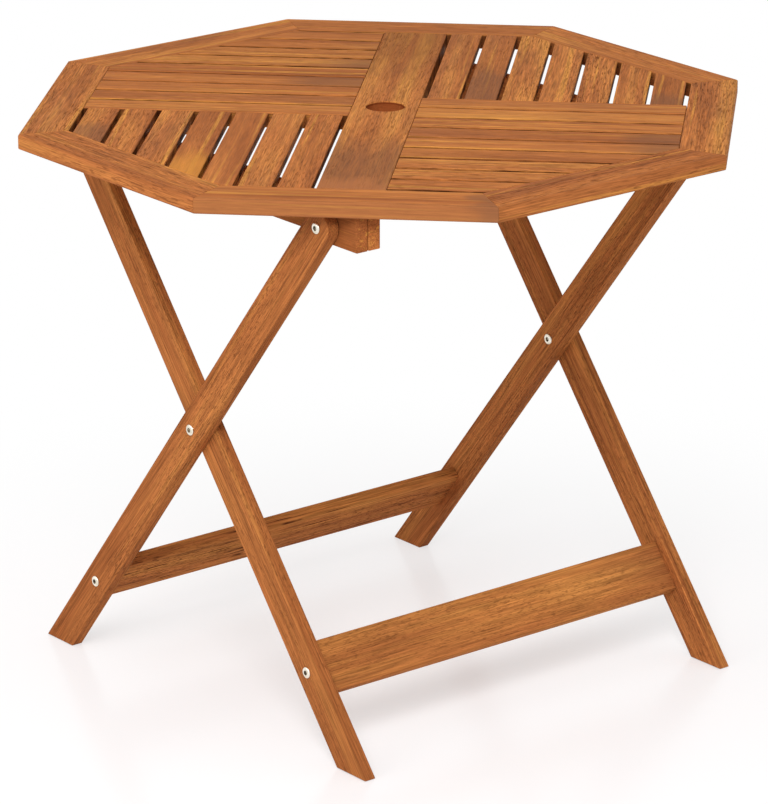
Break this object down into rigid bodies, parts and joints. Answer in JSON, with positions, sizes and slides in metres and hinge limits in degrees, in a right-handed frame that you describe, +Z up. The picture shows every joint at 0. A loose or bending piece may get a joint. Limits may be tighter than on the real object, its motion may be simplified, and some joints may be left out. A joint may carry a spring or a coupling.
{
  "type": "folding octagonal garden table",
  "caption": "Octagonal slatted hardwood garden table with an umbrella hole, on two scissor leg frames; the top hinges on one frame and rests in notches on the other's crossbar.",
  "frame": {"origin": "on the floor under the middle of the table", "axes": "+Z up, +X right and +Y back as the table stands; the leg frames lie on the diagonals, and their hinge axes run along X plus Y"},
  "size_m": [0.916, 0.89, 0.75],
  "materials": {
    "top_wood": "oiled hardwood, satin, golden brown with streaks",
    "leg_wood": "oiled hardwood, satin, reddish brown",
    "bolt_metal": "nickel plated, pale"
  },
  "bodies": {
    "pivot_frame": {"pivot_leg_left": "leg_wood", "pivot_leg_right": "leg_wood", "back_stretcher": "leg_wood", "back_stretcher_bolt_left": "bolt_metal", "back_stretcher_bolt_right": "bolt_metal", "crossing_bolt_left": "bolt_metal", "crossing_bolt_right": "bolt_metal"},
    "crossbar_frame": {"crossbar_leg_left": "leg_wood", "crossbar_leg_right": "leg_wood", "front_stretcher": "leg_wood", "front_stretcher_bolt_left": "bolt_metal", "front_stretcher_bolt_right": "bolt_metal", "crossbar": "leg_wood"},
    "pivot_bolts": {"pivot_bolt_left": "bolt_metal", "pivot_bolt_right": "bolt_metal"},
    "tabletop": {"rim_front": "top_wood", "rim_front_right": "top_wood", "rim_right": "top_wood", "rim_back_right": "top_wood", "rim_back": "top_wood", "rim_back_left": "top_wood", "rim_left": "top_wood", "rim_front_left": "top_wood", "centre_board": "top_wood", "slat_right_1": "top_wood", "slat_right_2": "top_wood", "slat_right_3": "top_wood", "slat_right_4": "top_wood", "slat_right_5": "top_wood", "slat_right_6": "top_wood", "slat_right_7": "top_wood", "slat_right_8": "top_wood", "slat_right_9": "top_wood", "slat_left_1": "top_wood", "slat_left_2": "top_wood", "slat_left_3": "top_wood", "slat_left_4": "top_wood", "slat_left_5": "top_wood", "slat_left_6": "top_wood", "slat_left_7": "top_wood", "slat_left_8": "top_wood", "slat_left_9": "top_wood", "slat_back_right_1": "top_wood", "slat_back_right_2": "top_wood", "slat_back_right_3": "top_wood", "slat_back_right_4": "top_wood", "slat_back_right_5": "top_wood", "slat_back_right_6": "top_wood", "slat_back_right_7": "top_wood", "slat_front_left_1": "top_wood", "slat_front_left_2": "top_wood", "slat_front_left_3": "top_wood", "slat_front_left_4": "top_wood", "slat_front_left_5": "top_wood", "slat_front_left_6": "top_wood", "slat_front_left_7": "top_wood", "batten_left": "top_wood", "batten_right": "top_wood", "spacer_block": "top_wood"}
  },
  "joints": [
    {"name": "leg_fold", "type": "hinge", "parent": "pivot_frame", "child": "crossbar_frame", "pos_m": [0, 0, 0.37888], "axis": [0.7071, 0.7071, 0], "range_deg": [0, 69]},
    {"name": "top_follow", "type": "hinge", "parent": "pivot_frame", "child": "pivot_bolts", "pos_m": [0.18526, -0.18526, 0.7067], "axis": [0.7071, 0.7071, 0], "range_deg": [0, 69]},
    {"name": "top_lift", "type": "hinge", "parent": "pivot_bolts", "child": "tabletop", "pos_m": [0.18526, -0.18526, 0.7067], "axis": [0.7071, 0.7071, 0], "range_deg": [0, 58]}
  ],
  "couplings": [
    {"joint": "top_follow", "follows": "leg_fold", "ratio": 1}
  ]
}
